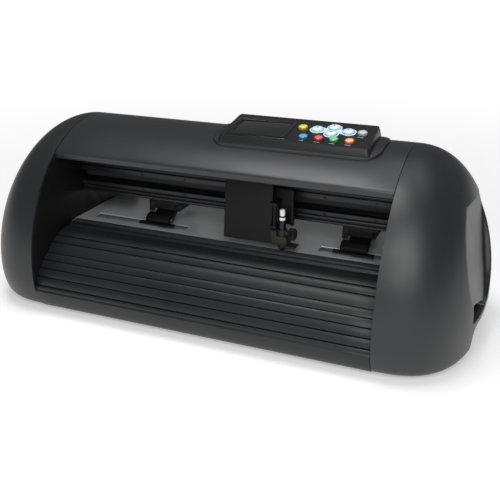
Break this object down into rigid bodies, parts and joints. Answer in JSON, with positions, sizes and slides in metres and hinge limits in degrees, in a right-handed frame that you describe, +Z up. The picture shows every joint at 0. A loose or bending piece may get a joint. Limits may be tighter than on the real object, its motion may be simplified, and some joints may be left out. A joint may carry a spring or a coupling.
{
  "type": "vinyl cutter",
  "caption": "Desktop vinyl cutter with domed end casings, an arched cover, a ribbed front apron, a travelling blade carriage on a beam, pinch rollers and a keypad panel.",
  "frame": {"origin": "the floor under the middle of the footprint", "axes": "+X along the machine to the right end with the power inlet, +Y from the operator to the back, +Z up"},
  "size_m": [0.616, 0.256, 0.2333],
  "materials": {
    "apron": "ribbed satin, charcoal",
    "beam_metal": "dark anodised extrusion",
    "bed_metal": "satin rolled sheet",
    "belt_rubber": "toothed",
    "black_plastic": "fine matte",
    "blade_steel": "ground",
    "board": "printed circuit board",
    "bronze": "sintered",
    "casing": "satin moulded, dark charcoal",
    "cover": "smooth satin, charcoal",
    "feet_rubber": "matte",
    "frame_steel": "powder coated",
    "gloss_black": "polished",
    "holder_metal": "anodised, white cap",
    "key_arrow": "domed key with dark mark",
    "key_blue": "domed key",
    "key_green": "domed key",
    "key_grey": "domed key",
    "key_orange": "domed key",
    "key_red": "domed key",
    "key_yellow": "domed key",
    "lever_plastic": "satin blue",
    "motor_case": "black lacquer",
    "psu_metal": "zinc plated can",
    "pulley_metal": "turned",
    "roller_nylon": "nylon",
    "screen": "dark display glass",
    "screw_steel": "nickel plated",
    "shaft_steel": "knurled drums",
    "strip": "pale cutting strip",
    "tool_metal": "anodised",
    "tyre_rubber": "matte",
    "zinc_steel": "zinc plated sheet"
  },
  "bodies": {
    "frame": {"base_plate": "zinc_steel", "rubber_feet": "feet_rubber", "left_side_frame": "frame_steel", "right_side_frame": "frame_steel", "cross_members": "zinc_steel", "main_beam": "beam_metal", "platen": "bed_metal", "cutting_strip": "strip", "front_apron": "apron", "rear_apron": "apron", "top_cover": "cover", "left_end_cap": "casing", "right_end_cap": "casing", "socket_tray": "black_plastic", "power_inlet": "black_plastic", "panel_base": "casing", "panel_housing": "casing", "display_window": "gloss_black", "display_screen": "screen", "keypad_board": "board", "shaft_bearings": "bronze", "feed_motor": "motor_case", "feed_belt": "belt_rubber", "carriage_motor": "motor_case", "carriage_belt": "belt_rubber", "mainboard": "board", "power_supply": "psu_metal", "case_screws": "screw_steel"},
    "carriage": {"carriage_plate": "frame_steel", "carriage_cover": "black_plastic"},
    "left_guide_roller": {"left_guide_roller": "roller_nylon"},
    "right_guide_roller": {"right_guide_roller": "roller_nylon"},
    "tool": {"tool_slide": "tool_metal", "blade_holder": "holder_metal"},
    "clamp_knob": {"clamp_knob": "black_plastic"},
    "blade": {"blade": "blade_steel"},
    "feed_shaft": {"grit_shaft": "shaft_steel", "feed_shaft_pulley": "pulley_metal"},
    "feed_motor_pulley": {"feed_motor_pulley": "pulley_metal"},
    "drive_pulley": {"drive_pulley": "pulley_metal"},
    "idler_pulley": {"idler_pulley": "pulley_metal"},
    "power_switch": {"power_switch": "gloss_black"},
    "left_pinch_bracket": {"left_pinch_bracket": "frame_steel"},
    "left_pinch_arm": {"left_pinch_arm": "frame_steel"},
    "left_pinch_roller": {"left_pinch_roller": "tyre_rubber"},
    "left_pinch_lever": {"left_pinch_lever": "lever_plastic"},
    "right_pinch_bracket": {"right_pinch_bracket": "frame_steel"},
    "right_pinch_arm": {"right_pinch_arm": "frame_steel"},
    "right_pinch_roller": {"right_pinch_roller": "tyre_rubber"},
    "right_pinch_lever": {"right_pinch_lever": "lever_plastic"},
    "key_yellow": {"key_yellow": "key_yellow"},
    "key_grey": {"key_grey": "key_grey"},
    "key_blue": {"key_blue": "key_blue"},
    "key_red": {"key_red": "key_red"},
    "key_green": {"key_green": "key_green"},
    "key_orange": {"key_orange": "key_orange"},
    "key_left": {"key_left": "key_arrow"},
    "key_right": {"key_right": "key_arrow"},
    "key_up": {"key_up": "key_arrow"},
    "key_down": {"key_down": "key_arrow"}
  },
  "joints": [
    {"name": "carriage_slide", "type": "slide", "parent": "frame", "child": "carriage", "axis": [1, 0, 0], "range_m": [-0.205, 0.105]},
    {"name": "left_guide_roller_spin", "type": "hinge", "parent": "carriage", "child": "left_guide_roller", "pos_m": [0.016, -0.004, 0.145], "axis": [0, 1, 0], "range_deg": [-1770, 910]},
    {"name": "right_guide_roller_spin", "type": "hinge", "parent": "carriage", "child": "right_guide_roller", "pos_m": [0.057, -0.004, 0.145], "axis": [0, 1, 0], "range_deg": [-910, 1770]},
    {"name": "tool_lift", "type": "slide", "parent": "carriage", "child": "tool", "axis": [0, 0, 1], "range_m": [-0.0018, 0], "stiffness_N_per_m": 400, "springref_m": 0.003},
    {"name": "clamp_knob_turn", "type": "hinge", "parent": "tool", "child": "clamp_knob", "pos_m": [0.091, -0.0375, 0.1165], "axis": [1, 0, 0], "range_deg": [0, 540]},
    {"name": "blade_swivel", "type": "hinge", "parent": "tool", "child": "blade", "pos_m": [0.079, -0.0375, 0.105], "axis": [0, 0, 1], "continuous": true},
    {"name": "drive_pulley_spin", "type": "hinge", "parent": "frame", "child": "drive_pulley", "pos_m": [0.232, 0.014, 0.145], "axis": [0, 0, 1], "range_deg": [-1475, 755]},
    {"name": "idler_pulley_spin", "type": "hinge", "parent": "frame", "child": "idler_pulley", "pos_m": [-0.232, 0.014, 0.145], "axis": [0, 0, 1], "range_deg": [-1475, 755]},
    {"name": "feed_shaft_spin", "type": "hinge", "parent": "frame", "child": "feed_shaft", "pos_m": [0, -0.01, 0.0855], "axis": [1, 0, 0], "continuous": true},
    {"name": "feed_motor_spin", "type": "hinge", "parent": "frame", "child": "feed_motor_pulley", "pos_m": [-0.224, 0.031, 0.051], "axis": [1, 0, 0], "continuous": true},
    {"name": "left_pinch_slide", "type": "slide", "parent": "frame", "child": "left_pinch_bracket", "axis": [1, 0, 0], "range_m": [-0.086, 0.02]},
    {"name": "left_lever_lift", "type": "hinge", "parent": "left_pinch_bracket", "child": "left_pinch_lever", "pos_m": [-0.092, 0.044, 0.112], "axis": [1, 0, 0], "range_deg": [0, 60]},
    {"name": "left_arm_lift", "type": "hinge", "parent": "left_pinch_bracket", "child": "left_pinch_arm", "pos_m": [-0.092, 0.012, 0.112], "axis": [1, 0, 0], "range_deg": [-12, 0]},
    {"name": "left_pinch_spin", "type": "hinge", "parent": "left_pinch_arm", "child": "left_pinch_roller", "pos_m": [-0.092, -0.01, 0.0999], "axis": [1, 0, 0], "continuous": true},
    {"name": "right_pinch_slide", "type": "slide", "parent": "frame", "child": "right_pinch_bracket", "axis": [1, 0, 0], "range_m": [-0.034, 0.02]},
    {"name": "right_lever_lift", "type": "hinge", "parent": "right_pinch_bracket", "child": "right_pinch_lever", "pos_m": [0.162, 0.044, 0.112], "axis": [1, 0, 0], "range_deg": [0, 60]},
    {"name": "right_arm_lift", "type": "hinge", "parent": "right_pinch_bracket", "child": "right_pinch_arm", "pos_m": [0.162, 0.012, 0.112], "axis": [1, 0, 0], "range_deg": [-12, 0]},
    {"name": "right_pinch_spin", "type": "hinge", "parent": "right_pinch_arm", "child": "right_pinch_roller", "pos_m": [0.162, -0.01, 0.0999], "axis": [1, 0, 0], "continuous": true},
    {"name": "key_yellow_press", "type": "slide", "parent": "frame", "child": "key_yellow", "axis": [0, 0.2122, -0.9772], "range_m": [0, 0.0012], "stiffness_N_per_m": 250, "springref_m": -0.0008},
    {"name": "key_grey_press", "type": "slide", "parent": "frame", "child": "key_grey", "axis": [0, 0.2122, -0.9772], "range_m": [0, 0.0012], "stiffness_N_per_m": 250, "springref_m": -0.0008},
    {"name": "key_blue_press", "type": "slide", "parent": "frame", "child": "key_blue", "axis": [0, 0.2122, -0.9772], "range_m": [0, 0.0012], "stiffness_N_per_m": 250, "springref_m": -0.0008},
    {"name": "key_red_press", "type": "slide", "parent": "frame", "child": "key_red", "axis": [0, 0.2122, -0.9772], "range_m": [0, 0.0012], "stiffness_N_per_m": 250, "springref_m": -0.0008},
    {"name": "key_green_press", "type": "slide", "parent": "frame", "child": "key_green", "axis": [0, 0.2122, -0.9772], "range_m": [0, 0.0012], "stiffness_N_per_m": 250, "springref_m": -0.0008},
    {"name": "key_orange_press", "type": "slide", "parent": "frame", "child": "key_orange", "axis": [0, 0.2122, -0.9772], "range_m": [0, 0.0012], "stiffness_N_per_m": 250, "springref_m": -0.0008},
    {"name": "key_left_press", "type": "slide", "parent": "frame", "child": "key_left", "axis": [0, 0.2122, -0.9772], "range_m": [0, 0.0012], "stiffness_N_per_m": 250, "springref_m": -0.0008},
    {"name": "key_right_press", "type": "slide", "parent": "frame", "child": "key_right", "axis": [0, 0.2122, -0.9772], "range_m": [0, 0.0012], "stiffness_N_per_m": 250, "springref_m": -0.0008},
    {"name": "key_up_press", "type": "slide", "parent": "frame", "child": "key_up", "axis": [0, 0.2122, -0.9772], "range_m": [0, 0.0012], "stiffness_N_per_m": 250, "springref_m": -0.0008},
    {"name": "key_down_press", "type": "slide", "parent": "frame", "child": "key_down", "axis": [0, 0.2122, -0.9772], "range_m": [0, 0.0012], "stiffness_N_per_m": 250, "springref_m": -0.0008},
    {"name": "power_switch_rock", "type": "hinge", "parent": "frame", "child": "power_switch", "pos_m": [0.2592, 0.101, 0.032], "axis": [1, 0, 0], "range_deg": [-14, 0]}
  ],
  "couplings": [
    {"joint": "left_guide_roller_spin", "follows": "carriage_slide", "rad_per_m": 150.38},
    {"joint": "right_guide_roller_spin", "follows": "carriage_slide", "rad_per_m": -150.38},
    {"joint": "drive_pulley_spin", "follows": "carriage_slide", "rad_per_m": 125},
    {"joint": "idler_pulley_spin", "follows": "carriage_slide", "rad_per_m": 125},
    {"joint": "feed_motor_spin", "follows": "feed_shaft_spin", "ratio": 2.5714},
    {"joint": "left_pinch_spin", "follows": "feed_shaft_spin", "ratio": -1.3333},
    {"joint": "right_pinch_spin", "follows": "feed_shaft_spin", "ratio": -1.3333},
    {"joint": "left_arm_lift", "follows": "left_lever_lift", "ratio": -0.2},
    {"joint": "right_arm_lift", "follows": "right_lever_lift", "ratio": -0.2}
  ]
}
